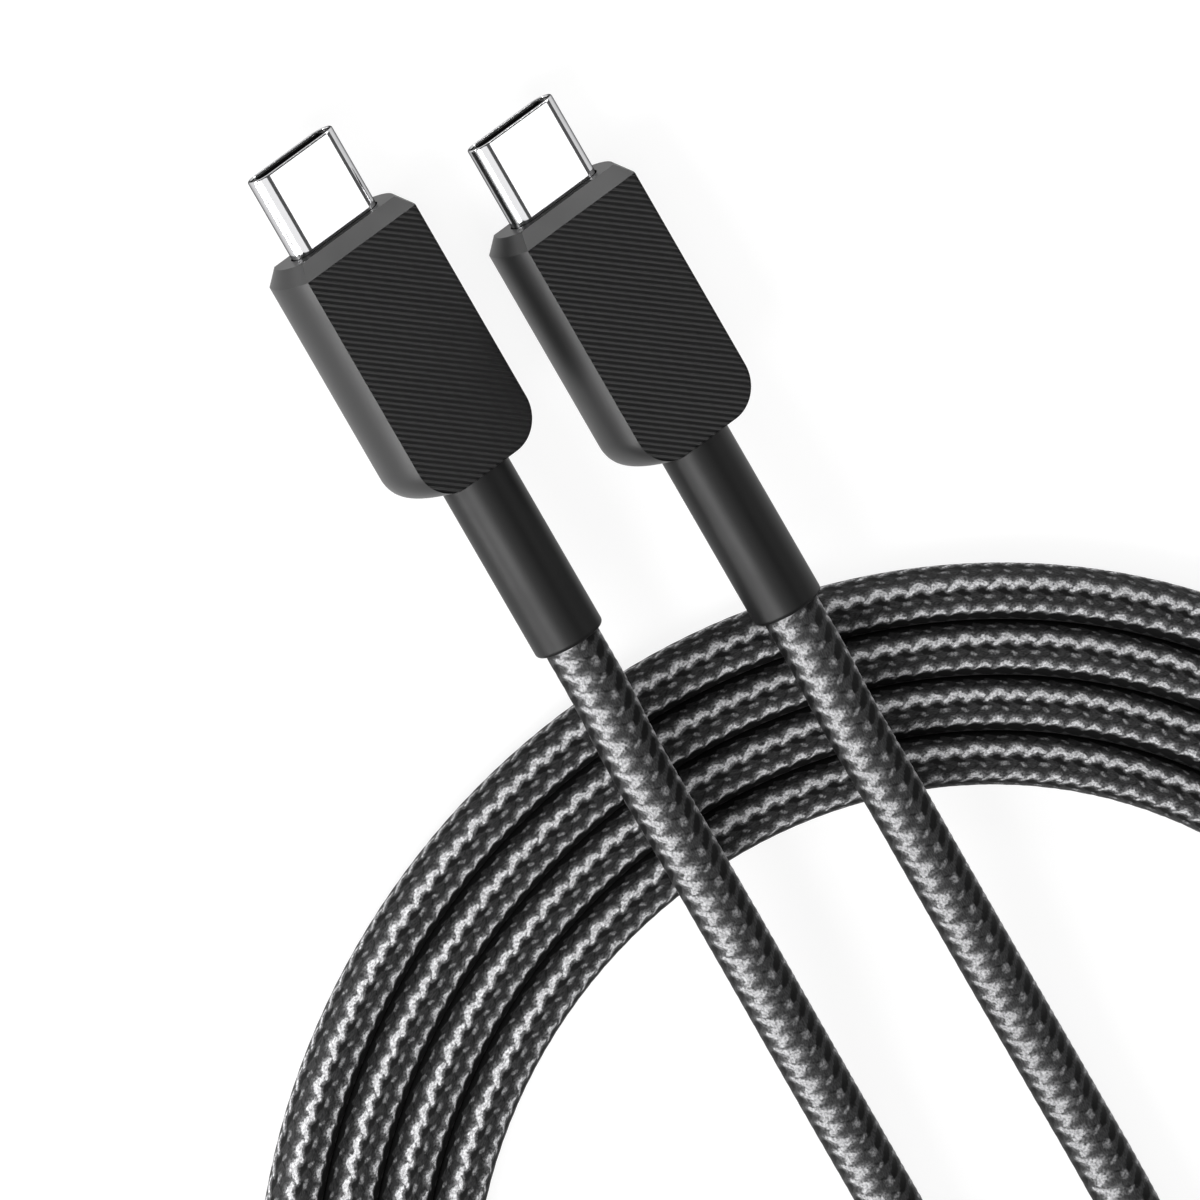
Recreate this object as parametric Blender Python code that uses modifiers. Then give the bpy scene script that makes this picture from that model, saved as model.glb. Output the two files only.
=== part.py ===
"""A braided USB-C to USB-C charging cable: two identical plugs side by side and one coil of cable.

The plugs lie a little rolled and nose-down, their tails resting on the coil.  World +Y points
towards the plug tips, +Z is up and the table is z = 0.  The origin is the middle of the two
plugs' bounding box, at table height.
"""
import math

import bmesh
import bpy
from mathutils import Matrix, Vector

MM = 0.001

# ---- Cable
CABLE_D = 4.3 * MM              # braided jacket
LOOP_GAP = 0.0 * MM             # clear width between neighbouring loops of the coil
FLAT_SHARE = 0.1                # share of the diameter pressed flat where the cable lies down
END_GAP = 0.3 * MM              # between stretches of cable, and between cable and strain relief
ROUTE_STEP = 2.0                # point spacing along a free lead, in diameters

# ---- Coil
COIL_CENTRE = (-5.86 * MM, -80.27 * MM)
COIL_TOP_R = 41.05 * MM         # innermost loop where it passes the top, at 90 degrees
COIL_START = 240.0              # where the innermost loop starts, degrees
COIL_SWEEP = 1350.0             # wound clockwise and outwards, degrees
LOOP_POINTS = 24
INNER_LEAN = 12.0               # the inner end leans in towards the centre, degrees

# ---- Plug pose
PLUG_PITCH = 15.8 * MM          # between the two plug axes
PLUG_STAGGER = 7.03 * MM        # how far the right plug lies behind the left one
NOSE_DOWN = math.radians(4.5)
ROLL = math.radians(18.0)

# ---- Housing
FACE_W = 11.16 * MM             # flat ribbed face
SIDE_BULGE = 0.66 * MM          # crown of each side
HOUSING_T = 6.0 * MM
HOUSING_L = 21.4 * MM
CHAMFER_L = 1.28 * MM           # front chamfer, along the plug
CHAMFER_T = 0.86 * MM           # and into the thickness
CHAMFER_W = 0.79 * MM           # and into the width
BACK_CORNER_R = 3.4 * MM        # of the crown
FACE_CORNER_R = 3.0 * MM        # of the ribbed face
CAVITY_W = 10.8 * MM
CAVITY_H = 4.9 * MM
FRONT_WALL = 1.0 * MM
REAR_WALL = 2.6 * MM

# ---- Strain relief
RELIEF_D = 5.73 * MM
RELIEF_L = 15.1 * MM
RELIEF_EDGE = 0.35 * MM         # rounding of its free end
SPIGOT_D = 4.8 * MM             # neck through the housing's rear wall
CORE_D = 3.4 * MM               # jacket under the braid, which runs through to the board

# ---- Metal shell and contacts
SHELL_W = 8.25 * MM
SHELL_H = 2.4 * MM
SHELL_WALL = 0.25 * MM
SHELL_OUT = 6.9 * MM            # stands out of the housing
SHELL_IN = 4.6 * MM             # reaches into the housing
INSULATOR_SETBACK = 0.15 * MM   # from the shell's front rim
INSULATOR_WALL = 0.17 * MM
CONTACTS = 12
CONTACT_PITCH = 0.5 * MM
CONTACT_W = 0.24 * MM
CONTACT_T = 0.14 * MM
TONGUE_SLOT = 0.72 * MM         # free height between the two contact rows
CONTACT_SETBACK = 1.6 * MM      # contact tips behind the shell's front rim
CONTACT_TAIL = 1.5 * MM         # solder tails past the shell's back end
WAFER_FRONT = 0.4 * MM          # wafer face ahead of the housing front
WAFER_H = 0.42 * MM
LATCH_T = 0.15 * MM
LATCH_ARM_W = 0.3 * MM
LATCH_HOOK = 0.12 * MM
LATCH_SETBACK = 2.2 * MM

# ---- Circuit board, shield, inner mould
BOARD_W = 8.4 * MM
BOARD_L = 8.6 * MM
BOARD_T = 0.56 * MM
CHIP = (2.5 * MM, 2.5 * MM, 0.6 * MM)
CAN_W = 9.4 * MM
CAN_H = 3.2 * MM
CAN_WALL = 0.2 * MM
CAN_CORNER = 0.6 * MM
MOULD_CORNER = 1.0 * MM
WIRES = 3                       # soldered to each side of the board
WIRE_D = 0.5 * MM
WIRE_PITCH = 1.05 * MM
WIRE_L = 2.4 * MM
FERRULE_WALL = 0.25 * MM
FERRULE_L = 2.6 * MM
FIT = 0.1 * MM                  # clearance between fixed inner pieces
SOLDER = 0.06 * MM              # between a soldered piece and the board

# ---- Fineness of round outlines, in straight pieces
ARC_STEPS = 8
TURN_STEPS = 32

CABLE_R = CABLE_D / 2
AXIS_Z = CABLE_R - FLAT_SHARE * CABLE_D     # cable axis where the cable lies on the table
LOOP_PITCH = CABLE_D + LOOP_GAP
SHELL_BACK = -SHELL_IN
CAVITY_BACK = REAR_WALL - HOUSING_L
BOARD_FRONT = SHELL_BACK - FIT
BOARD_BACK = BOARD_FRONT - BOARD_L
CAN_FRONT = -FRONT_WALL - FIT
CAN_BACK = BOARD_BACK - FIT
CORE_FRONT = BOARD_BACK - FIT
TAIL_END = -(HOUSING_L + RELIEF_L)
HOLLOW_W = SHELL_W - 2 * SHELL_WALL         # inside the shell
HOLLOW_H = SHELL_H - 2 * SHELL_WALL
MOUTH_W = HOLLOW_W - 2 * FIT - HOLLOW_H / 2
MOUTH_H = HOLLOW_H - 2 * FIT - 2 * INSULATOR_WALL
UP_TO_FRONT = Matrix.Rotation(math.radians(-90), 3, "X")

# The leads' own points, chosen by hand: x and y from the coil's centre, and how far the cable's
# axis is lifted above that of a stretch that lies on the table, all in millimetres.
LEFT_ROUTE = (
    (-2.25, 51.5, 5.3), (-2.05, 42.0, 4.8), (-1.9, 33.5, 4.4), (-1.7, 24.0, 3.4), (-1.4, 14.5, 2.0),
    (-1.1, 5.5, 0.9), (-0.6, -3.0, 0.2), (1.7, -11.5, 0.0), (3.5, -20.3, 0.0), (0.5, -29.8, 0.0),
    (-6.8, -34.9, 0.0),
)
RIGHT_ROUTE = (
    (13.65, 45.5, 5.2), (13.85, 37.5, 4.7), (14.0, 29.0, 4.1), (14.3, 19.5, 2.8), (14.6, 10.0, 1.7),
    (14.75, 1.0, 1.3), (14.5, -8.0, 1.6), (13.4, -16.5, 2.6), (12.9, -25.5, 3.9), (15.8, -34.6, 4.8),
    (22.3, -40.9, 4.9), (30.6, -42.9, 4.4), (37.0, -40.6, 2.9), (41.5, -36.6, 1.1),
)


# ---- Scene and materials

def clear_scene():
    for item in list(bpy.data.objects):
        bpy.data.objects.remove(item, do_unlink=True)


def make_collection(name):
    collection = bpy.data.collections.new(name)
    bpy.context.scene.collection.children.link(collection)
    return collection


def make_material(name, colour, roughness, metallic=0.0):
    material = bpy.data.materials.new(name)
    material.use_nodes = True
    shader = material.node_tree.nodes["Principled BSDF"]
    shader.inputs["Base Color"].default_value = (*colour, 1.0)
    shader.inputs["Roughness"].default_value = roughness
    shader.inputs["Metallic"].default_value = metallic
    material.diffuse_color = (*colour, 1.0)
    return material


# ---- Outlines, as lists of points in a plane

def arc(centre, radius, start, end, steps=ARC_STEPS):
    """Points along a circular arc, angles in degrees, both ends included."""
    points = []
    for step in range(steps + 1):
        angle = math.radians(start + (end - start) * step / steps)
        points.append((centre[0] + radius * math.cos(angle), centre[1] + radius * math.sin(angle)))
    return points


def rounded_rectangle(width, height, radius):
    x = width / 2 - radius
    y = height / 2 - radius
    outline = []
    for corner, (cx, cy) in enumerate(((x, y), (-x, y), (-x, -y), (x, -y))):
        outline += arc((cx, cy), radius, 90 * corner, 90 * corner + 90)
    return outline


def stadium(width, height):
    """A slot outline with fully round ends."""
    reach = (width - height) / 2
    return arc((reach, 0), height / 2, -90, 90) + arc((-reach, 0), height / 2, 90, 270)


def rectangle(x0, x1, y0, y1):
    return [(x0, y0), (x1, y0), (x1, y1), (x0, y1)]


# ---- Solids

def mesh_object(name, mesh, collection, material=None):
    item = bpy.data.objects.new(name, mesh)
    collection.objects.link(item)
    if material:
        mesh.materials.clear()
        mesh.materials.append(material)
    return item


def curve_to_mesh(curve_object, name):
    """A welded mesh of a curve object, in the place of the curve."""
    graph = bpy.context.evaluated_depsgraph_get()
    mesh = bpy.data.meshes.new_from_object(curve_object.evaluated_get(graph))
    mesh.name = name
    mesh.transform(curve_object.matrix_world)
    bpy.data.objects.remove(curve_object, do_unlink=True)
    work = bmesh.new()
    work.from_mesh(mesh)
    bmesh.ops.remove_doubles(work, verts=work.verts, dist=1e-7)
    bmesh.ops.recalc_face_normals(work, faces=work.faces)
    work.to_mesh(mesh)
    work.free()
    return mesh


def plate(name, outlines, low, high, plane="XZ"):
    """A mesh of flat outlines, the later ones being holes, extruded from low to high.

    The plane is XZ for a section that is extruded along the plug, or XY for a plan view that is
    extruded through its thickness.
    """
    curve = bpy.data.curves.new(name, "CURVE")
    curve.dimensions = "2D"
    curve.fill_mode = "BOTH"
    curve.extrude = (high - low) / 2
    for outline in outlines:
        spline = curve.splines.new("POLY")
        spline.points.add(len(outline) - 1)
        spline.use_cyclic_u = True
        for point, (x, y) in zip(spline.points, outline):
            point.co = (x, y, 0, 1)
    item = bpy.data.objects.new(name, curve)
    bpy.context.scene.collection.objects.link(item)
    middle = (low + high) / 2
    if plane == "XZ":
        item.rotation_euler = (math.pi / 2, 0, 0)
        item.location = (0, middle, 0)
    else:
        item.location = (0, 0, middle)
    bpy.context.view_layer.update()
    return curve_to_mesh(item, name)


def combine(name, base, others, operation):
    """One mesh from a base mesh and others, joined, cut or intersected with exact Booleans."""
    holder = bpy.data.objects.new(name, base)
    bpy.context.scene.collection.objects.link(holder)
    tools = []
    for index, other in enumerate(others):
        tool = bpy.data.objects.new(f"{name}_tool_{index}", other)
        bpy.context.scene.collection.objects.link(tool)
        tools.append(tool)
        change = holder.modifiers.new(operation.title(), "BOOLEAN")
        change.operation = operation
        change.object = tool
    bpy.context.view_layer.update()
    graph = bpy.context.evaluated_depsgraph_get()
    mesh = bpy.data.meshes.new_from_object(holder.evaluated_get(graph))
    mesh.name = name
    for item in [holder, *tools]:
        bpy.data.objects.remove(item, do_unlink=True)
    return mesh


def cylinder(name, diameter, low, high, x=0.0, z=0.0, sides=TURN_STEPS):
    """A round bar along the plug, from y = low to y = high."""
    mesh = bpy.data.meshes.new(name)
    work = bmesh.new()
    bmesh.ops.create_cone(work, cap_ends=True, segments=sides, radius1=diameter / 2,
                          radius2=diameter / 2, depth=high - low)
    bmesh.ops.rotate(work, verts=work.verts, cent=(0, 0, 0), matrix=UP_TO_FRONT)
    bmesh.ops.translate(work, verts=work.verts, vec=(x, (low + high) / 2, z))
    bmesh.ops.recalc_face_normals(work, faces=work.faces)
    work.to_mesh(mesh)
    work.free()
    return mesh


def block(name, x_range, y_range, z_range):
    mesh = bpy.data.meshes.new(name)
    work = bmesh.new()
    bmesh.ops.create_cube(work, size=1.0)
    size = [high - low for low, high in (x_range, y_range, z_range)]
    middle = [(high + low) / 2 for low, high in (x_range, y_range, z_range)]
    bmesh.ops.scale(work, verts=work.verts, vec=size)
    bmesh.ops.translate(work, verts=work.verts, vec=middle)
    work.to_mesh(mesh)
    work.free()
    return mesh


def shade_round(mesh, angle=35.0):
    mesh.shade_smooth()
    mesh.set_sharp_from_angle(angle=math.radians(angle))
    return mesh


# ---- The pieces of one plug: x across, y towards the tip from the housing's front, z off its face

def half_widths(y):
    """Half width of the housing at a place along it: of its flat face, and of its crowned sides."""
    face = FACE_W / 2
    crown = face + SIDE_BULGE
    if y > -CHAMFER_L:
        cut = CHAMFER_W * (1 + y / CHAMFER_L)
        return face - cut, crown - cut
    widths = []
    for half, corner in ((face, FACE_CORNER_R), (crown, BACK_CORNER_R)):
        past = min(max(corner - HOUSING_L - y, 0.0), corner)
        widths.append(half - corner + math.sqrt(corner ** 2 - past ** 2))
    return widths


def housing_section(y, half_t):
    """Section of the housing: flat faces above and below, and a crowned arc at each side."""
    face, crown = half_widths(y)
    bulge = crown - face
    radius = (half_t ** 2 + bulge ** 2) / (2 * bulge)
    swing = math.degrees(math.asin(half_t / radius))
    right = arc((crown - radius, 0), radius, -swing, swing, 2 * ARC_STEPS)
    return right + [(-x, -z) for x, z in right]


def housing_mesh():
    """Moulded housing: crowned sides, chamfered front and round back corners, open at both ends."""
    half_t = HOUSING_T / 2
    stations = [(0.0, half_t - CHAMFER_T), (-CHAMFER_L, half_t)]
    for step in range(ARC_STEPS + 1):
        turned = math.radians(90.0 * step / ARC_STEPS)
        stations.append((-HOUSING_L + BACK_CORNER_R * (1 - math.sin(turned)), half_t))
    body = bpy.data.meshes.new("housing")
    work = bmesh.new()
    rows = [[work.verts.new((x, y, z)) for x, z in housing_section(y, high)] for y, high in stations]
    for row, following in zip(rows, rows[1:]):
        for index in range(len(row)):
            work.faces.new((row[index - 1], row[index], following[index], following[index - 1]))
    work.faces.new(rows[0])
    work.faces.new(rows[-1])
    bmesh.ops.recalc_face_normals(work, faces=work.faces)
    work.to_mesh(body)
    work.free()
    over = FRONT_WALL
    slot = plate("slot", [stadium(SHELL_W + 2 * FIT, SHELL_H + 2 * FIT)], -FRONT_WALL - over, over)
    cavity = plate("cavity", [rounded_rectangle(CAVITY_W, CAVITY_H, MOULD_CORNER)],
                   CAVITY_BACK, -FRONT_WALL)
    neck = cylinder("neck", SPIGOT_D + 2 * FIT, -HOUSING_L - over, CAVITY_BACK + over)
    return combine("housing", body, [slot, cavity, neck], "DIFFERENCE")


def strain_relief_mesh():
    """Turned sleeve with a neck in the housing's rear wall, bored for the cable's jacket."""
    bore = CORE_D / 2 + FIT
    front = CAVITY_BACK + FIT
    shoulder = -HOUSING_L - FIT
    outer = RELIEF_D / 2
    profile = [(bore, front), (SPIGOT_D / 2, front), (SPIGOT_D / 2, shoulder), (outer, shoulder)]
    profile += arc((outer - RELIEF_EDGE, TAIL_END + RELIEF_EDGE), RELIEF_EDGE, 360, 270, 4)
    profile.append((bore, TAIL_END))
    mesh = bpy.data.meshes.new("strain_relief")
    work = bmesh.new()
    points = [work.verts.new((x, 0, y)) for x, y in profile]
    for index in range(len(points)):
        work.edges.new((points[index], points[(index + 1) % len(points)]))
    work.to_mesh(mesh)
    work.free()
    holder = bpy.data.objects.new("strain_relief", mesh)
    bpy.context.scene.collection.objects.link(holder)
    screw = holder.modifiers.new("Turn", "SCREW")
    screw.axis = "Z"
    screw.steps = TURN_STEPS
    screw.render_steps = TURN_STEPS
    screw.use_merge_vertices = True
    screw.merge_threshold = 1e-7
    bpy.context.view_layer.update()
    graph = bpy.context.evaluated_depsgraph_get()
    turned = bpy.data.meshes.new_from_object(holder.evaluated_get(graph))
    bpy.data.objects.remove(holder, do_unlink=True)
    work = bmesh.new()
    work.from_mesh(turned)
    bmesh.ops.remove_doubles(work, verts=work.verts, dist=1e-7)
    bmesh.ops.rotate(work, verts=work.verts, cent=(0, 0, 0), matrix=UP_TO_FRONT)
    bmesh.ops.recalc_face_normals(work, faces=work.faces)
    work.to_mesh(turned)
    work.free()
    return turned


def shell_mesh():
    """Drawn steel shell, a slot-shaped tube open at both ends."""
    outlines = [stadium(SHELL_W, SHELL_H), stadium(HOLLOW_W, HOLLOW_H)]
    return plate("shell", outlines, SHELL_BACK, SHELL_OUT)


def insulator_mesh():
    """Plastic liner of the shell, with a slot right through for the tongue and the contacts."""
    outlines = [stadium(HOLLOW_W - 2 * FIT, HOLLOW_H - 2 * FIT),
                rectangle(-MOUTH_W / 2, MOUTH_W / 2, -MOUTH_H / 2, MOUTH_H / 2)]
    return plate("insulator", outlines, SHELL_BACK, SHELL_OUT - INSULATOR_SETBACK)


def contacts_mesh(side):
    """One row of contacts in its moulded wafer; side is 1 for the upper row, -1 for the lower."""
    low = LATCH_T / 2 + FIT / 2
    wafer = [side * low, side * (low + WAFER_H)]
    beam = [side * TONGUE_SLOT / 2, side * (TONGUE_SLOT / 2 + CONTACT_T)]
    half_w = MOUTH_W / 2 - FIT
    body = block("contacts", (-half_w, half_w), (SHELL_BACK, WAFER_FRONT), sorted(wafer))
    back = SHELL_BACK - CONTACT_TAIL
    front = SHELL_OUT - CONTACT_SETBACK
    fingers = []
    for index in range(CONTACTS):
        x = (index - (CONTACTS - 1) / 2) * CONTACT_PITCH
        width = (x - CONTACT_W / 2, x + CONTACT_W / 2)
        fingers.append(block("finger", width, (back, front), sorted(beam)))
    return combine("contacts", body, fingers, "UNION")


def latch_mesh():
    """Middle ground plate between the two wafers, with a hooked latch arm along each side."""
    outer = MOUTH_W / 2 - FIT
    inner = outer - LATCH_ARM_W
    tip = SHELL_OUT - LATCH_SETBACK
    hook = inner - LATCH_HOOK
    right = [(outer, SHELL_BACK), (outer, tip), (hook, tip - 2 * LATCH_ARM_W),
             (inner, tip - 4 * LATCH_ARM_W), (inner, WAFER_FRONT)]
    left = [(-x, y) for x, y in reversed(right)]
    return plate("latch_plate", [right + left], -LATCH_T / 2, LATCH_T / 2, "XY")


def board_mesh():
    half_w = BOARD_W / 2
    half_t = BOARD_T / 2
    return block("circuit_board", (-half_w, half_w), (BOARD_BACK, BOARD_FRONT), (-half_t, half_t))


def chip_mesh():
    """Marker chip on the upper side of the board, behind the solder tails."""
    width, length, height = CHIP
    front = BOARD_FRONT - CONTACT_TAIL - 2 * FIT
    low = BOARD_T / 2 + SOLDER
    return block("marker_chip", (-width / 2, width / 2), (front - length, front), (low, low + height))


def can_mesh():
    """Folded shield can around the shell's back end and the board."""
    outlines = [rounded_rectangle(CAN_W, CAN_H, CAN_CORNER),
                rounded_rectangle(CAN_W - 2 * CAN_WALL, CAN_H - 2 * CAN_WALL, CAN_CORNER - CAN_WALL)]
    return plate("shield_can", outlines, CAN_BACK, CAN_FRONT)


def core_mesh():
    """Cable jacket through the strain relief, with its stripped wires over and under the board."""
    jacket = cylinder("cable_core", CORE_D, TAIL_END, CORE_FRONT)
    wires = []
    for side in (1, -1):
        z = side * (BOARD_T / 2 + SOLDER + WIRE_D / 2)
        for index in range(WIRES):
            x = (index - (WIRES - 1) / 2) * WIRE_PITCH
            wires.append(cylinder("wire", WIRE_D, CORE_FRONT - WIRE_D, CORE_FRONT + WIRE_L, x, z, 8))
    return combine("cable_core", jacket, wires, "UNION")


def ferrule_mesh():
    """Crimp ferrule that ties the shield to the cable's jacket."""
    inner = CORE_D + 2 * FIT
    back = CAN_BACK - FIT - FERRULE_L
    ring = cylinder("crimp_ferrule", inner + 2 * FERRULE_WALL, back, back + FERRULE_L)
    hole = cylinder("hole", inner, back - FERRULE_L, back + 2 * FERRULE_L)
    return combine("crimp_ferrule", ring, [hole], "DIFFERENCE")


def inner_mould_mesh():
    """Hard inner mould that fills the housing around the can, the ferrule and the cable."""
    wide = CAVITY_W - 2 * FIT
    high = CAVITY_H - 2 * FIT
    front = -FRONT_WALL - FIT
    back = CAVITY_BACK + 2 * FIT
    body = plate("inner_mould", [rounded_rectangle(wide, high, MOULD_CORNER - FIT)], back, front)
    pocket = plate("pocket", [rounded_rectangle(CAN_W + 2 * FIT, CAN_H + 2 * FIT, CAN_CORNER + FIT)],
                   CAN_BACK - FIT, front + FRONT_WALL)
    bore_d = CORE_D + 2 * FIT + 2 * FERRULE_WALL + 2 * FIT
    bore = cylinder("bore", bore_d, back - FRONT_WALL, CAN_BACK)
    return combine("inner_mould", body, [pocket, bore], "DIFFERENCE")


def plug_rest_height():
    """Height of the plug's axis at the housing's front, its lower right front corner on the table."""
    across = FACE_W / 2 * math.sin(ROLL) * math.cos(NOSE_DOWN)
    through = HOUSING_T / 2 * math.cos(ROLL) * math.cos(NOSE_DOWN)
    return across + through - CHAMFER_L * math.sin(NOSE_DOWN)


def plug_axis_point(plug, distance):
    """World point on a plug's axis, at a distance along it from the housing's front."""
    return plug.location + Vector((0, math.cos(NOSE_DOWN), -math.sin(NOSE_DOWN))) * distance


def make_plug(side, x, y, meshes, materials, collection):
    """Place one plug's pieces under an empty that carries the plug's pose."""
    carrier = bpy.data.objects.new(f"{side}_plug", None)
    collection.objects.link(carrier)
    carrier.location = (x, y, plug_rest_height())
    carrier.rotation_mode = "YXZ"
    carrier.rotation_euler = (-NOSE_DOWN, ROLL, 0)
    for name, mesh in meshes.items():
        copy = mesh.copy()
        item = mesh_object(f"{side}_{name}", copy, collection, materials[name])
        item.parent = carrier
    return carrier


def plug_meshes():
    return {
        "shell": shade_round(shell_mesh()),
        "insulator": insulator_mesh(),
        "upper_contacts": contacts_mesh(1),
        "lower_contacts": contacts_mesh(-1),
        "latch_plate": latch_mesh(),
        "circuit_board": board_mesh(),
        "marker_chip": chip_mesh(),
        "shield_can": can_mesh(),
        "inner_mould": inner_mould_mesh(),
        "crimp_ferrule": shade_round(ferrule_mesh()),
        "cable_core": shade_round(core_mesh()),
        "housing": shade_round(housing_mesh(), 20.0),
        "strain_relief": shade_round(strain_relief_mesh()),
    }


# ---- The cable

def smooth_curve(points, per_span=16):
    """Points on a smooth curve through the given ones (centripetal Catmull-Rom)."""
    first = points[0] * 2 - points[1]
    last = points[-1] * 2 - points[-2]
    chain = [first, *points, last]
    curve = []
    for index in range(1, len(chain) - 2):
        a, b, c, d = chain[index - 1:index + 3]
        t1 = (b - a).length ** 0.5
        t2 = t1 + (c - b).length ** 0.5
        t3 = t2 + (d - c).length ** 0.5
        for step in range(per_span):
            t = t1 + (t2 - t1) * step / per_span
            ab = a * ((t1 - t) / t1) + b * (t / t1)
            bc = b * ((t2 - t) / (t2 - t1)) + c * ((t - t1) / (t2 - t1))
            cd = c * ((t3 - t) / (t3 - t2)) + d * ((t - t2) / (t3 - t2))
            abc = ab * ((t2 - t) / t2) + bc * (t / t2)
            bcd = bc * ((t3 - t) / (t3 - t1)) + cd * ((t - t1) / (t3 - t1))
            curve.append(abc * ((t2 - t) / (t2 - t1)) + bcd * ((t - t1) / (t2 - t1)))
    curve.append(points[-1].copy())
    return curve


def even_points(curve, spacing):
    """The curve's points again, at even steps of about the spacing, both ends kept."""
    lengths = [0.0]
    for before, after in zip(curve, curve[1:]):
        lengths.append(lengths[-1] + (after - before).length)
    count = max(2, round(lengths[-1] / spacing))
    points = []
    index = 0
    for step in range(count):
        goal = lengths[-1] * step / count
        while lengths[index + 1] < goal:
            index += 1
        share = (goal - lengths[index]) / (lengths[index + 1] - lengths[index])
        points.append(curve[index].lerp(curve[index + 1], share))
    points.append(curve[-1])
    return points


def path_length(points):
    return sum((after - before).length for before, after in zip(points, points[1:]))


def coil_point(turned):
    """Point on the coil's axis after a clockwise turn of some degrees from its inner end."""
    angle = COIL_START - turned
    radius = COIL_TOP_R + LOOP_PITCH * (90.0 - angle) / 360.0
    x = COIL_CENTRE[0] + radius * math.cos(math.radians(angle))
    y = COIL_CENTRE[1] + radius * math.sin(math.radians(angle))
    return Vector((x, y, AXIS_Z))


def heading(degrees):
    return Vector((math.cos(math.radians(degrees)), math.sin(math.radians(degrees)), 0))


def coil_route():
    """The coil's axis: a flat spiral, and one straight diameter of cable at each end."""
    steps = math.ceil(COIL_SWEEP / 360.0 * LOOP_POINTS)
    points = [coil_point(COIL_SWEEP * step / steps) for step in range(steps + 1)]
    inner_way = heading(COIL_START - 90.0 + INNER_LEAN)
    outer_way = heading(COIL_START - COIL_SWEEP - 90.0)
    return [points[0] - inner_way * CABLE_D, *points, points[-1] + outer_way * CABLE_D]


def lead_route(plug, own_points, coil_end, coil_way):
    """A lead's axis, from just off the strain relief through its own points to the coil's end."""
    tail = plug_axis_point(plug, TAIL_END)
    away = (tail - plug.location).normalized()
    points = [tail + away * CABLE_D]
    for x, y, lift in own_points:
        points.append(Vector((COIL_CENTRE[0] + x * MM, COIL_CENTRE[1] + y * MM, AXIS_Z + lift * MM)))
    points.append(coil_end - coil_way * CABLE_D)
    between = even_points(smooth_curve(points), ROUTE_STEP * CABLE_D)
    return [tail + away * END_GAP, *between, coil_end - coil_way * END_GAP]


def tube(name, points, resolution, tilt, collection, material):
    """A cable stretch, cut flat at the table where it lies on it."""
    curve = bpy.data.curves.new(name, "CURVE")
    curve.dimensions = "3D"
    curve.bevel_depth = CABLE_R
    curve.bevel_resolution = resolution
    curve.use_fill_caps = True
    curve.twist_mode = "Z_UP"
    spline = curve.splines.new("POLY")
    spline.points.add(len(points) - 1)
    for point, place in zip(spline.points, points):
        point.co = (*place, 1)
        point.tilt = tilt
    item = bpy.data.objects.new(name, curve)
    bpy.context.scene.collection.objects.link(item)
    bpy.context.view_layer.update()
    mesh = curve_to_mesh(item, name)
    reach = 1.0
    table = block("table", (-reach, reach), (-reach, reach), (-reach, 0))
    mesh = combine(name, mesh, [table], "DIFFERENCE")
    return mesh_object(name, shade_round(mesh, 70.0), collection, material)


def least_loop_gap(item, points):
    """Least distance between the surface points of different loops of the coil."""
    owners = []
    for vertex in item.data.vertices:
        spot = vertex.co
        nearest = min(range(len(points)), key=lambda index: (points[index] - spot).length_squared)
        owners.append(nearest)
    least = CABLE_D
    vertices = item.data.vertices
    for index, owner in enumerate(owners):
        for other in range(index + 1, len(owners)):
            if abs(owners[other] - owner) > LOOP_POINTS // 2:
                apart = (vertices[index].co - vertices[other].co).length
                least = min(least, apart)
    return least


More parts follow.
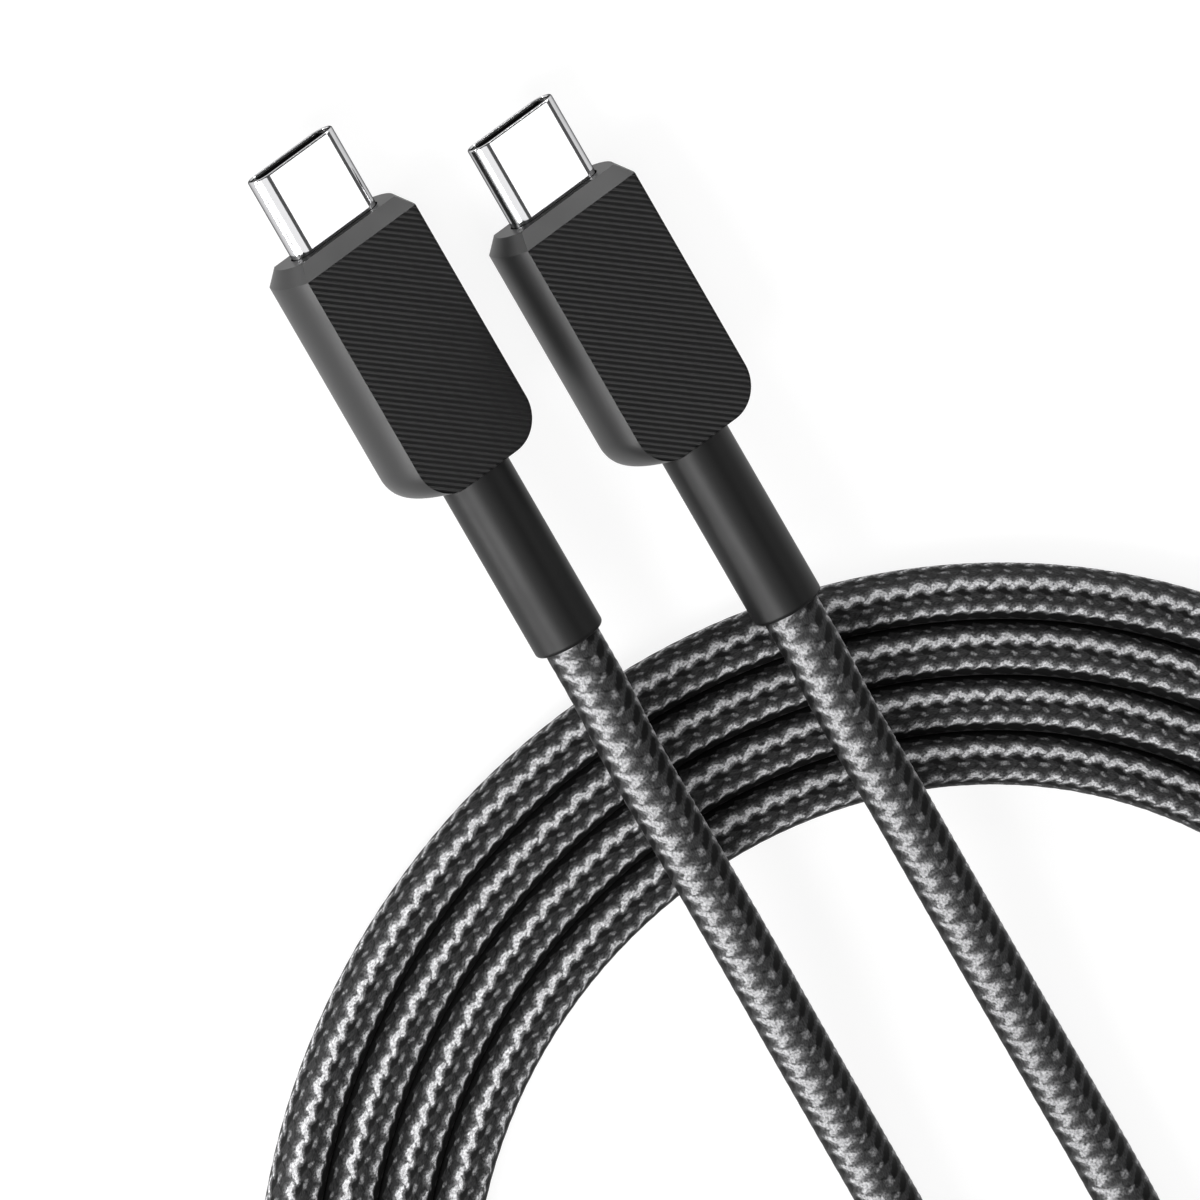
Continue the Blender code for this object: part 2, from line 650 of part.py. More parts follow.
def main():
    clear_scene()
    parts = make_collection("charging_cable")

    steel = make_material("steel", (0.72, 0.73, 0.75), 0.18, 1.0)
    plastic = make_material("black_plastic", (0.02, 0.02, 0.022), 0.45)
    insulation = make_material("black_insulator", (0.012, 0.012, 0.012), 0.5)
    gold = make_material("gold_contacts", (0.8, 0.6, 0.25), 0.3, 1.0)
    green = make_material("board_green", (0.02, 0.14, 0.06), 0.5)
    tin = make_material("tinned_shield", (0.6, 0.6, 0.62), 0.35, 1.0)
    clear = make_material("inner_mould_white", (0.7, 0.7, 0.68), 0.55)
    rubber = make_material("black_rubber", (0.015, 0.015, 0.016), 0.4)
    braid = make_material("nylon_braid", (0.1, 0.1, 0.105), 0.6)
    materials = {
        "shell": steel, "insulator": insulation, "upper_contacts": gold, "lower_contacts": gold,
        "latch_plate": steel, "circuit_board": green, "marker_chip": insulation,
        "shield_can": tin, "inner_mould": clear, "crimp_ferrule": tin, "cable_core": rubber,
        "housing": plastic, "strain_relief": rubber,
    }

    meshes = plug_meshes()
    tip = SHELL_OUT * math.cos(NOSE_DOWN)
    tip += ((SHELL_W - SHELL_H) / 2 * math.sin(ROLL) + SHELL_H / 2) * math.sin(NOSE_DOWN)
    tail = -TAIL_END * math.cos(NOSE_DOWN) + (RELIEF_D / 2 - RELIEF_EDGE) * math.sin(NOSE_DOWN)
    middle = (tip - PLUG_STAGGER - tail) / 2
    left = make_plug("left", -PLUG_PITCH / 2, -middle, meshes, materials, parts)
    right = make_plug("right", PLUG_PITCH / 2, -middle - PLUG_STAGGER, meshes, materials, parts)
    for mesh in meshes.values():
        bpy.data.meshes.remove(mesh)

    coil = coil_route()
    inner_way = (coil[1] - coil[0]).normalized()
    outer_way = (coil[-2] - coil[-1]).normalized()
    coil_item = tube("coil", coil, 1, math.radians(30), parts, braid)
    left_lead = lead_route(left, LEFT_ROUTE, coil[0], inner_way)
    right_lead = lead_route(right, RIGHT_ROUTE, coil[-1], outer_way)
    tube("left_lead", left_lead, 2, 0.0, parts, braid)
    tube("right_lead", right_lead, 2, 0.0, parts, braid)

    gap = least_loop_gap(coil_item, coil)
    total = path_length(left_lead) + path_length(coil) + path_length(right_lead) + 2 * END_GAP
    print("least gap between loops", round(gap / MM, 3), "mm")
    print("cable between the strain reliefs", round(total, 4), "m; leads",
          round(path_length(left_lead), 4), round(path_length(right_lead), 4))


main()
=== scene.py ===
"""Looks of the braided charging cable: two ribbed plugs with steel shells and one coil of cable."""
import math

import bmesh
import bpy
import numpy as np
from mathutils import Matrix, Vector


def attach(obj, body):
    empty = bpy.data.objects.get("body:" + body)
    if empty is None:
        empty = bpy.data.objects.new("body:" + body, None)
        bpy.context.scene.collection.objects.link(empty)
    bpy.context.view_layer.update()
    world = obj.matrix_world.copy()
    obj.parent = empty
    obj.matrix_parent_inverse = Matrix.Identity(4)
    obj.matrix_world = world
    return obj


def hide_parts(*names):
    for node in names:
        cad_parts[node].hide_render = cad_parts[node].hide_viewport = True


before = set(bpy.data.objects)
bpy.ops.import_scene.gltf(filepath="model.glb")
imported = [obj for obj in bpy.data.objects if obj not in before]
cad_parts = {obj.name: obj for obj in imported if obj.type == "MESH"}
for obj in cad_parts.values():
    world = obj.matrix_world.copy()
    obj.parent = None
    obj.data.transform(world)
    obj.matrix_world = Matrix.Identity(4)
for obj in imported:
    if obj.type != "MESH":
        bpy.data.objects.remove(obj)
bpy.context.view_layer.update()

MM = 0.001
SIDES = ("left", "right")

# ---- Cable and coil, as in the CAD model: metres and degrees
CABLE_D = 4.3 * MM
CABLE_R = CABLE_D / 2
LEAD_R = 2.31 * MM                     # a free lead is a little looser than the wound coil
CABLE_IN = 0.9 * MM                    # reaches into the strain relief
COIL_CENTRE = (-5.86 * MM, -80.27 * MM)
COIL_TOP_R = 41.05 * MM                # innermost loop where it passes the top, at 90 degrees
COIL_START = 240.0                     # where the innermost loop starts
COIL_SWEEP = 1350.0                    # wound clockwise and outwards
COIL_POINT_STEP = 2.5
INNER_LEAN = 12.0                      # the inner end leans in towards the centre

# The leads' own points, as in the CAD model: x and y from the coil's centre and lift, in mm.
LEFT_ROUTE = (
    (-2.25, 51.5, 5.3), (-2.05, 42.0, 4.8), (-1.9, 33.5, 4.4), (-1.7, 24.0, 3.4), (-1.4, 14.5, 2.0),
    (-1.1, 5.5, 0.9), (-0.6, -3.0, 0.2), (1.7, -11.5, 0.0), (3.5, -20.3, 0.0), (0.5, -29.8, 0.0),
    (-6.8, -34.9, 0.0),
)
RIGHT_ROUTE = (
    (13.65, 45.5, 5.2), (13.85, 37.5, 4.7), (14.0, 29.0, 4.1), (14.3, 19.5, 2.8), (14.6, 10.0, 1.7),
    (14.75, 1.0, 1.3), (14.5, -8.0, 1.6), (13.4, -16.5, 2.6), (12.9, -25.5, 3.9), (15.8, -34.6, 4.8),
    (22.3, -40.9, 4.9), (30.6, -42.9, 4.4), (37.0, -40.6, 2.9), (41.5, -36.6, 1.1),
)
ROUTE_BLEND = 15                       # rings to either side over which the route is evened out
PATH_EVERY = 12                        # rings from one point of the cord's own path to the next

# ---- Plug, as in the CAD model: metres and radians
PLUG_PITCH = 15.8 * MM                 # between the two plug axes
PLUG_FRONT = {"left": 18.2855 * MM, "right": 11.2555 * MM}      # the housing's front, along the table
PLUG_HEIGHT = 4.4629 * MM
NOSE_DOWN = math.radians(4.5)
ROLL = math.radians(18.0)
FACE_W = 11.16 * MM                    # flat ribbed face
SIDE_BULGE = 0.66 * MM                 # crown of each side
HOUSING_T = 6.0 * MM
HOUSING_L = 21.4 * MM
CHAMFER_L = 1.28 * MM                  # front chamfer, along the plug
CHAMFER_T = 0.86 * MM                  # and into the thickness
CHAMFER_W = 0.79 * MM                  # and into the width
BACK_CORNER_R = 3.4 * MM               # of the crown
FACE_CORNER_R = 3.0 * MM               # of the ribbed face
RELIEF_D = 5.73 * MM
RELIEF_L = 15.1 * MM
RELIEF_EDGE = 0.35 * MM                # rounding of its free end
SHELL_W = 8.25 * MM
SHELL_H = 2.4 * MM
SHELL_WALL = 0.25 * MM
SHELL_OUT = 6.9 * MM                   # stands out of the housing
FIT = 0.1 * MM                         # between a piece and its hole
TAIL_END = -(HOUSING_L + RELIEF_L)

# ---- How finely the plug is drawn, and what of it hides in its neighbour
EDGE_BAND = 0.04 * MM                  # narrow band that keeps a flat's shading flat up to a round edge
CORNER_STEPS = 24
ROUND_STEPS = 8
SHELL_TUCK = 1.0 * MM                  # the shell is drawn from this far inside the housing
RELIEF_TUCK = 0.3 * MM                 # and so is the strain relief
RELIEF_WALL = 0.4 * MM                 # its wall there
BORE_GAP = 0.06 * MM                   # around the cable
BORE_EDGE = 0.1 * MM
BORE_DEEP = 2.0 * MM

# ---- Ribs of the housing's faces
RIB_PITCH = 0.428 * MM
RIB_DEPTH = 0.13 * MM
RIB_LEAN = math.radians(37.9)          # falls towards the tail, going right
RIB_FALL = 0.45                        # share of a rib's width that falls
RIB_SAMPLES = 12

# ---- Camera: a long lens, so that the plugs' edges stay parallel as in the photograph
VIEW_ACROSS = math.radians(26.67)      # seen from the plug's left, about its axis
VIEW_ALONG = math.radians(13.24)       # and from ahead of its tip
SCREEN_LEAN = math.radians(30.02)      # the plugs lean this far from the picture's vertical
PIXELS_PER_MM = 13.276
PICTURE = 1200
FRONT_PIXEL = (334.18, 231.56)         # the left housing's front centre in the photograph
CAMERA_DISTANCE = 3.0
CAMERA_CLIP = (0.1, 50.0)
SENSOR_MM = 36.0

# ---- Stage: what the floor reflects as a surface, and how white it glows near the cable and far off
FLOOR_REACH = 20.0
WALL_HEIGHT = 4.0
FLOOR_DROP = 0.02 * MM                 # under the table height, so that no two surfaces coincide
FLOOR_COLOUR = 0.2
FLOOR_ROUGHNESS = 0.9
FLOOR_GLOW = 0.87
FAR_GLOW = 0.97
GLOW_NEAR = 0.25
GLOW_FAR = 1.4

# ---- Light: an even world, and square lamps that face the origin
# Name, direction from the origin, distance, size, and radiance (a white card in plain light has 1)
WORLD_LEVEL = 0.12
LAMPS = (
    ("left_softbox", (-0.73, -0.19, 0.66), 0.80, 0.34, 14.0),
    ("left_low_card", (-0.97, -0.18, 0.13), 0.70, 0.115, 36.0),
    ("left_middle_card", (-0.87, -0.19, 0.44), 0.70, 0.30, 1.0),
    ("top_card", (-0.20, -0.16, 0.966), 0.60, 0.50, 1.2),
    ("right_card", (0.69, -0.20, 0.70), 0.60, 0.13, 2.2),
    ("right_low_card", (0.84, 0.16, 0.52), 0.60, 0.12, 12.0),
    ("front_right_softbox", (0.695, 0.693, 0.19), 0.80, 0.21, 18.0),
    ("front_left_card", (-0.82, 0.57, 0.10), 0.60, 0.11, 58.0),
)

# ---- Braid: the pattern repeats this often around the cable, and has one yarn a step along it
LEAD_REPEATS = 3
LEAD_STEP = 1.43 * MM
COIL_REPEATS = 6
COIL_STEP = 1.62 * MM
SPOTS = 108                            # points around the cable
RING_STEP = 0.16 * MM
YARN_RISE = 0.13 * MM
LEAD_FACE = -57.0                      # where a repeat begins, in degrees to the left of the cable's top
COIL_FACE = 23.0
PASSING = 6 * MM                       # the lead's pattern passes into the coil's over twice this length

# Bent strokes: steps along the cable, repeats around it, and share of the full half width
LARGE_STROKE = ((0.00, 0.00, 0.45), (0.60, 0.28, 1.0), (0.92, 0.17, 0.7))
SMALL_STROKE = ((1.02, 0.02, 0.50), (1.50, 0.24, 0.9), (1.84, 0.15, 0.6))
SLASH = ((0.84, 0.60, 1.0), (1.02, 0.50, 1.0))
SPOT = ((1.86, 0.60, 1.6), (2.06, 0.59, 1.6))
LEAD_STROKE = 0.21                     # half width of a bright stroke where it is widest, in steps
COIL_STROKE = 0.24
FLECK = 0.12                           # and of a slash or a spot
LEAD_LAG = 0.005                       # how far the strokes lie from the marks beside them, in repeats
COIL_LAG = 0.12
WEAVE_ASPECT = 2.2                     # steps to one repeat around, between the lead's 3.4 and the coil's 1.4
STROKE_SEAM = -0.32                    # strokes are measured within one repeat from here
OFF_STROKE = 9.0                       # half widths: the furthest that a place counts as lying from one

# Marks between the strokes: middle and half size, both along and around, and slant
MARK_SEAM = 0.3                        # marks are measured within one repeat from here
HOLLOW_AT = (0.63, 0.80)
HOLLOW_HALF = (0.52, 0.13)
HOLLOW_SLANT = 0.25
VEIN_AT = (0.60, 0.50)
VEIN_HALF = (0.10, 0.17)
VEIN_SLANT = 1.5

# Height of the surface, where 1 is the cable's full radius and 0 is YARN_RISE less
PLAIN_HEIGHT = 0.35
LEAF_HEIGHT = 0.20
STROKE_HEIGHT = 0.40
STROKE_FLANK = 0.2                     # a stroke's rise begins this far outside it
FLECK_HEIGHT = 0.12
HOLLOW_DEPTH = 0.30
TOUCHING_HEIGHT = 1.25                 # closes the slit between loops

# Painted shade between the coil's loops, in degrees off the top
INNER_GROOVE_SHADE = (34.0, 57.0)            # where a loop is painted with its neighbour's shade, towards the centre
OUTER_GROOVE_SHADE = (60.0, 74.0)            # and away from it
OUTSIDE_SHADE = 0.15                   # share of that painted shade on the coil's free outer side
INNER_SHADE_SPAN = (20.0, 38.0)              # where painted shade greys the strokes, before the inner groove
# how much that painted shade greys the strokes
INNER_SHADE = 0.45
GROOVE_SHADE_CUT = 3.0                       # how much the painted groove shade takes off the strokes and flecks
GROOVE_SHADE_BLACK = 2.5                    # and adds to the black hollows

# ---- Yarns: each pair of greys runs from the darker filaments to the lighter ones
LEAD_DARK = (0.020, 0.050)
COIL_DARK = (0.014, 0.038)
LEAD_LIGHT = ((0.14, 0.26), (0.41, 0.58))
COIL_LIGHT = ((0.19, 0.36), (0.61, 0.86))
FLECK_GREYS = (0.07, 0.30)
EDGE_GREYS = (0.04, 0.22)              # along the border of a bright stroke
VEIN_GREY = 0.010
HOLLOW_GREY = 0.005
BLUE_CAST = 1.02
RAGGED = 1.8                           # how far noise moves a mark's border
VEIN_BORDER = (0.8, 1.7)
HOLLOW_BORDER = (0.55, 1.5)
FLECK_BORDER = (0.60, 1.9)
EDGE_BORDER = (-0.9, 0.9)
STROKE_BORDER = (0.65, 1.15)
NOISE_MIDDLE = (0.35, 0.65)
FILAMENT_LEAN = math.radians(45)

# ---- The plugs' materials: name, colour, roughness and what departs from a plain plastic
GLOSS_GRAIN = 250.0
PLAIN_MATERIALS = {
    "housing": ("housing_plastic", (0.006, 0.006, 0.0062), 0.42, {}),
    "strain_relief": ("relief_rubber", (0.003, 0.003, 0.0031), 0.46, {"gloss_level": 0.30}),
    "steel_shell": ("polished_steel", (0.62, 0.62, 0.63), 0.10, {"metallic": 1.0, "rim": 0.02}),
    "insulator": ("black_nylon", (0.003, 0.003, 0.003), 0.5, {"gloss_level": 0.15}),
    "contacts": ("gilded_contacts", (0.85, 0.62, 0.28), 0.25, {"metallic": 1.0}),
    "latch_steel": ("spring_steel", (0.7, 0.7, 0.72), 0.3, {"metallic": 1.0}),
    "board": ("board_laminate", (0.02, 0.10, 0.05), 0.45, {}),
    "chip": ("chip_resin", (0.02, 0.02, 0.02), 0.5, {}),
    "tinned_shield": ("tinned_steel", (0.75, 0.75, 0.76), 0.28, {"metallic": 1.0}),
    "inner_mould": ("inner_plastic", (0.5, 0.5, 0.48), 0.5, {}),
    "jacket": ("jacket_plastic", (0.03, 0.03, 0.03), 0.55, {}),
}
INNER_PIECES = {
    "insulator": "insulator", "upper_contacts": "contacts", "lower_contacts": "contacts",
    "latch_plate": "latch_steel", "circuit_board": "board", "marker_chip": "chip",
    "shield_can": "tinned_shield", "inner_mould": "inner_mould", "crimp_ferrule": "tinned_shield",
    "cable_core": "jacket",
}


# ---- Camera

def plug_matrix(side):
    """Place and pose of one plug: x across it, y towards its tip, z off its ribbed face."""
    x = PLUG_PITCH / 2 * (1 if side == "right" else -1)
    turn = Matrix.Rotation(-NOSE_DOWN, 4, "X") @ Matrix.Rotation(ROLL, 4, "Y")
    return Matrix.Translation((x, PLUG_FRONT[side], PLUG_HEIGHT)) @ turn


def make_camera():
    """The photograph's view, set out from the left plug's own axes."""
    plug = plug_matrix("left")
    across, along, off = (Vector(plug.col[index][:3]) for index in range(3))
    back = (-math.sin(VIEW_ACROSS) * math.cos(VIEW_ALONG) * across + math.sin(VIEW_ALONG) * along
            + math.cos(VIEW_ACROSS) * math.cos(VIEW_ALONG) * off)
    screen_up = (along - along.dot(back) * back).normalized()
    screen_right = screen_up.cross(back)
    right = math.cos(SCREEN_LEAN) * screen_right - math.sin(SCREEN_LEAN) * screen_up
    up = math.sin(SCREEN_LEAN) * screen_right + math.cos(SCREEN_LEAN) * screen_up
    shift_right = (PICTURE / 2 - FRONT_PIXEL[0]) / PIXELS_PER_MM * MM
    shift_up = (FRONT_PIXEL[1] - PICTURE / 2) / PIXELS_PER_MM * MM
    place = plug.translation + right * shift_right + up * shift_up + back * CAMERA_DISTANCE
    data = bpy.data.cameras.new("camera")
    camera = bpy.data.objects.new("camera", data)
    bpy.context.scene.collection.objects.link(camera)
    camera.matrix_world = Matrix((
        (right.x, up.x, back.x, place.x),
        (right.y, up.y, back.y, place.y),
        (right.z, up.z, back.z, place.z),
        (0, 0, 0, 1)))
    data.sensor_width = SENSOR_MM
    data.lens = data.sensor_width * PIXELS_PER_MM * CAMERA_DISTANCE / MM / PICTURE
    data.clip_start, data.clip_end = CAMERA_CLIP
    bpy.context.scene.camera = camera


# ---- Meshes

def add_object(name, mesh, material, smooth=35.0):
    """An object in the scene, smooth up to an angle in degrees; with 0, as the mesh already is."""
    if smooth:
        mesh.shade_smooth()
        mesh.set_sharp_from_angle(angle=math.radians(smooth))
    mesh.materials.append(material)
    item = bpy.data.objects.new(name, mesh)
    bpy.context.scene.collection.objects.link(item)
    return item


def object_from(work, name, material, smooth):
    """An object made of a working mesh, which is used up."""
    bmesh.ops.recalc_face_normals(work, faces=work.faces)
    mesh = bpy.data.meshes.new(name)
    work.to_mesh(mesh)
    work.free()
    return add_object(name, mesh, material, smooth)


def mesh_from_arrays(name, points, quads, uvs):
    """A mesh from an array of points and an array of quads, with one UV pair per quad corner."""
    mesh = bpy.data.meshes.new(name)
    mesh.vertices.add(len(points))
    mesh.vertices.foreach_set("co", np.ascontiguousarray(points, dtype=np.float32).ravel())
    mesh.loops.add(quads.size)
    mesh.loops.foreach_set("vertex_index", np.ascontiguousarray(quads, dtype=np.int32).ravel())
    mesh.polygons.add(len(quads))
    mesh.polygons.foreach_set("loop_start", np.arange(0, quads.size, 4, dtype=np.int32))
    mesh.polygons.foreach_set("loop_total", np.full(len(quads), 4, dtype=np.int32))
    layer = mesh.uv_layers.new(name="UVMap")
    layer.uv.foreach_set("vector", np.ascontiguousarray(uvs, dtype=np.float32).ravel())
    mesh.update(calc_edges=True)
    mesh.validate()
    return mesh


# ---- The cable's route

def smooth_curve(points, per_span=16):
    """Points on a smooth curve through the given ones (centripetal Catmull-Rom)."""
    first = points[0] * 2 - points[1]
    last = points[-1] * 2 - points[-2]
    chain = [first, *points, last]
    curve = []
    for index in range(1, len(chain) - 2):
        a, b, c, d = chain[index - 1:index + 3]
        t1 = (b - a).length ** 0.5
        t2 = t1 + (c - b).length ** 0.5
        t3 = t2 + (d - c).length ** 0.5
        for step in range(per_span):
            t = t1 + (t2 - t1) * step / per_span
            ab = a * ((t1 - t) / t1) + b * (t / t1)
            bc = b * ((t2 - t) / (t2 - t1)) + c * ((t - t1) / (t2 - t1))
            cd = c * ((t3 - t) / (t3 - t2)) + d * ((t - t2) / (t3 - t2))
            abc = ab * ((t2 - t) / t2) + bc * (t / t2)
            bcd = bc * ((t3 - t) / (t3 - t1)) + cd * ((t - t1) / (t3 - t1))
            curve.append(abc * ((t2 - t) / (t2 - t1)) + bcd * ((t - t1) / (t2 - t1)))
    curve.append(points[-1].copy())
    return curve


def heading(degrees):
    """Unit vector on the table, turned from +x."""
    return Vector((math.cos(math.radians(degrees)), math.sin(math.radians(degrees)), 0))


def coil_curve():
    """The coil's axis, a flat clockwise spiral that grows by one diameter a loop."""
    points = []
    for turned in np.arange(0.0, COIL_SWEEP + 0.1, COIL_POINT_STEP):
        angle = COIL_START - turned
        radius = COIL_TOP_R + CABLE_D * (90.0 - angle) / 360.0
        middle = Vector((*COIL_CENTRE, CABLE_R))
        points.append(middle + heading(angle) * radius)
    inner_end = points[0] - heading(COIL_START - 90.0 + INNER_LEAN) * CABLE_D
    outer_end = points[-1] + heading(COIL_START - COIL_SWEEP - 90.0) * CABLE_D
    return [inner_end, *points, outer_end]


def lead_points(side, own_points, coil_end, coil_way):
    """A lead's axis from the strain relief to the coil's end."""
    plug = plug_matrix(side)
    tail = plug @ Vector((0, TAIL_END, 0))
    away = -Vector(plug.col[1][:3])
    points = [tail - away * CABLE_IN, tail + away * CABLE_D]
    for x, y, lift in own_points:
        points.append(Vector((COIL_CENTRE[0] + x * MM, COIL_CENTRE[1] + y * MM, LEAD_R + lift * MM)))
    points.append(coil_end - coil_way * CABLE_D)
    return smooth_curve(points)


def evened_out(points):
    """The same points, each averaged with its neighbours, with the two ends in place."""
    kernel = np.hanning(2 * ROUTE_BLEND + 1)
    kernel /= kernel.sum()
    before = 2 * points[:1] - points[ROUTE_BLEND:0:-1]
    after = 2 * points[-1:] - points[-2:-ROUTE_BLEND - 2:-1]
    padded = np.concatenate([before, points, after])
    return np.stack([np.convolve(padded[:, axis], kernel, "valid") for axis in range(3)], axis=1)


def cable_route():
    """Even points along the whole cable, and how far along it the coil begins and ends."""
    coil = coil_curve()
    inner_way = heading(COIL_START - 90.0 + INNER_LEAN)
    outer_way = heading(COIL_START - COIL_SWEEP + 90.0)
    left = lead_points("left", LEFT_ROUTE, coil[0], inner_way)
    right = lead_points("right", RIGHT_ROUTE, coil[-1], outer_way)
    right.reverse()
    chain = np.array([point[:] for point in left + coil + right])
    lengths = np.concatenate([[0.0], np.cumsum(np.linalg.norm(np.diff(chain, axis=0), axis=1))])
    travel = np.linspace(0.0, lengths[-1], int(lengths[-1] / RING_STEP) + 1)
    route = np.stack([np.interp(travel, lengths, chain[:, axis]) for axis in range(3)], axis=1)
    return evened_out(route), travel, lengths[len(left) - 1], lengths[len(left) + len(coil) - 1]


# ---- The braid's pattern

def soft_step(low, high, value):
    """0 below the low value, 1 above the high one, and smooth between them."""
    share = np.clip((value - low) / (high - low), 0.0, 1.0)
    return share * share * (3.0 - 2.0 * share)


def wrapped(value, start, period=1.0):
    """The value within one period from the start."""
    return np.mod(value - start, period) + start


def near_stroke(along, around, corners, half):
    """How far inside a bent, tapering stroke a place is: 1 on its middle line, 0 at its edge."""
    middle = (corners[0][0] + corners[-1][0]) / 2
    x = wrapped(along - middle, -1.0, period=2.0) + middle
    y = wrapped(around, STROKE_SEAM) * WEAVE_ASPECT
    least = np.full(np.broadcast(x, y).shape, OFF_STROKE)
    for (x0, y0, wide0), (x1, y1, wide1) in zip(corners, corners[1:]):
        y0, y1 = y0 * WEAVE_ASPECT, y1 * WEAVE_ASPECT
        share = ((x - x0) * (x1 - x0) + (y - y0) * (y1 - y0)) / ((x1 - x0) ** 2 + (y1 - y0) ** 2)
        share = np.clip(share, 0.0, 1.0)
        apart = np.hypot(x - x0 - share * (x1 - x0), y - y0 - share * (y1 - y0))
        least = np.minimum(least, apart / (half * (wide0 + share * (wide1 - wide0))))
    return 1.0 - least


def weave(along, around, width, lag):
    """The braid's pattern at a place, counted in steps along the cable and repeats around it.

    Gives the height and how far inside a bright stroke, a fleck, a hollow and a dark vein the place
    is. Strokes and flecks come in two kinds, which take turns along the cable.
    """
    bright = np.maximum(near_stroke(along, around + lag, LARGE_STROKE, width),
                        near_stroke(along, around + lag, SMALL_STROKE, width))
    flecks = np.maximum(near_stroke(along, around, SLASH, FLECK),
                        near_stroke(along, around, SPOT, FLECK))
    place = wrapped(around, MARK_SEAM)
    step = wrapped(along - HOLLOW_AT[0], -0.5)
    aside = place - HOLLOW_AT[1] + HOLLOW_SLANT * step
    hollow = 1.0 - (step / HOLLOW_HALF[0]) ** 2 - (aside / HOLLOW_HALF[1]) ** 2
    line = wrapped(along - VEIN_SLANT * (place - VEIN_AT[1]) - VEIN_AT[0], -0.5)
    vein = 1.0 - np.abs(line) / VEIN_HALF[0] - (np.abs(place - VEIN_AT[1]) / VEIN_HALF[1]) ** 3
    leaf = np.clip(1.0 - (2.0 * line - np.sign(line)) ** 2, 0.0, 1.0)
    height = PLAIN_HEIGHT + LEAF_HEIGHT * leaf
    height = height + STROKE_HEIGHT * np.clip(bright + STROKE_FLANK, 0.0, 1.0) ** 0.5
    height = height + FLECK_HEIGHT * np.clip(flecks, 0.0, 1.0) - HOLLOW_DEPTH * np.clip(hollow, 0.0, 1.0)
    return np.stack([height, bright, flecks, hollow, vein])


def lead_weave(travel, degrees):
    """A free lead's pattern, counted from its own plug, so that both leads look alike."""
    around = (degrees - LEAD_FACE) / 360.0 * LEAD_REPEATS
    return weave(travel[:, None] / LEAD_STEP, around[None, :], LEAD_STROKE, LEAD_LAG)


def coil_weave(travel, degrees):
    """The wound coil's pattern."""
    around = (degrees - COIL_FACE) / 360.0 * COIL_REPEATS
    return weave(travel[:, None] / COIL_STEP, around[None, :], COIL_STROKE, COIL_LAG)


def loop_touch_and_shade(turned, degrees):
    """How deep each place lies between two loops, which raises it to touch and is painted as shade there, and
    how much painted shade greys the strokes before that.
    """
    has_outer = np.where(turned < COIL_SWEEP - 360.0, 1.0, OUTSIDE_SHADE)
    side_out = soft_step(*OUTER_GROOVE_SHADE, degrees)[None, :] * has_outer[:, None]
    side_in = soft_step(*INNER_GROOVE_SHADE, -degrees)[None, :] * (turned > 360.0)[:, None]
    return side_out + side_in, INNER_SHADE * soft_step(*INNER_SHADE_SPAN, -degrees)[None, :]


def cable_pattern(travel, degrees, coil_from, coil_to):
    """The pattern on every point of the cable, with painted shade between the coil's loops, and each ring's
    share in the coil.
    """
    into_coil = soft_step(coil_from - PASSING, coil_from + PASSING, travel)[None, :, None]
    out_of_coil = soft_step(coil_to - PASSING, coil_to + PASSING, travel)[None, :, None]
    in_coil = (into_coil - out_of_coil)[0]
    left = lead_weave(travel, degrees)
    right = lead_weave(travel[-1] - travel, -degrees)
    coil = coil_weave(travel, degrees)
    pattern = left * (1 - into_coil) + coil * (into_coil - out_of_coil) + right * out_of_coil
    touch_and_shade, centre_side_shade = loop_touch_and_shade((travel - coil_from) / (coil_to - coil_from) * COIL_SWEEP, degrees)
    touch_and_shade = touch_and_shade * in_coil
    # Where loops touch they are raised; below, the same places get painted shade.
    pattern[0] += (TOUCHING_HEIGHT - pattern[0]) * touch_and_shade
    # Painted shade: strokes and flecks taken off, hollows made black, strokes greyed towards the centre.
    pattern[1] -= GROOVE_SHADE_CUT * touch_and_shade + centre_side_shade * in_coil
    pattern[2] -= GROOVE_SHADE_CUT * touch_and_shade
    pattern[3] += GROOVE_SHADE_BLACK * touch_and_shade
    return pattern, in_coil


# ---- The braided cable

def tube_points(route, degrees, radius):
    """Rings of points around the route, counted from its top towards its left hand."""
    tangent = np.gradient(route, axis=0)
    tangent /= np.linalg.norm(tangent, axis=1, keepdims=True)
    left_hand = np.cross((0.0, 0.0, 1.0), tangent)
    left_hand /= np.linalg.norm(left_hand, axis=1, keepdims=True)
    top = np.cross(tangent, left_hand)
    angles = np.radians(degrees)
    outwards = (np.cos(angles)[None, :, None] * top[:, None, :]
                + np.sin(angles)[None, :, None] * left_hand[:, None, :])
    return route[:, None, :] + outwards * radius[..., None]


def tube_quads(travel):
    """Quads between the rings, with millimetres along and around the cable as their UVs."""
    ring, spot = np.meshgrid(np.arange(len(travel) - 1), np.arange(SPOTS), indexing="ij")
    following = (spot + 1) % SPOTS
    quads = np.stack([ring * SPOTS + spot, ring * SPOTS + following, (ring + 1) * SPOTS + following,
                      (ring + 1) * SPOTS + spot], axis=-1).reshape(-1, 4)
    around_mm = math.pi * CABLE_D / MM / SPOTS
    low, high = travel[ring] / MM, travel[ring + 1] / MM
    near, far = spot * around_mm, (spot + 1) * around_mm
    uvs = np.stack([np.stack([low, near], -1), np.stack([low, far], -1),
                    np.stack([high, far], -1), np.stack([high, near], -1)], axis=-2).reshape(-1, 4, 2)
    return quads, uvs


def close_ends(mesh):
    """Fills the tube's two open ends."""
    work = bmesh.new()
    work.from_mesh(mesh)
    bmesh.ops.holes_fill(work, edges=[edge for edge in work.edges if edge.is_boundary], sides=0)
    bmesh.ops.recalc_face_normals(work, faces=work.faces)
    work.to_mesh(mesh)
    work.free()


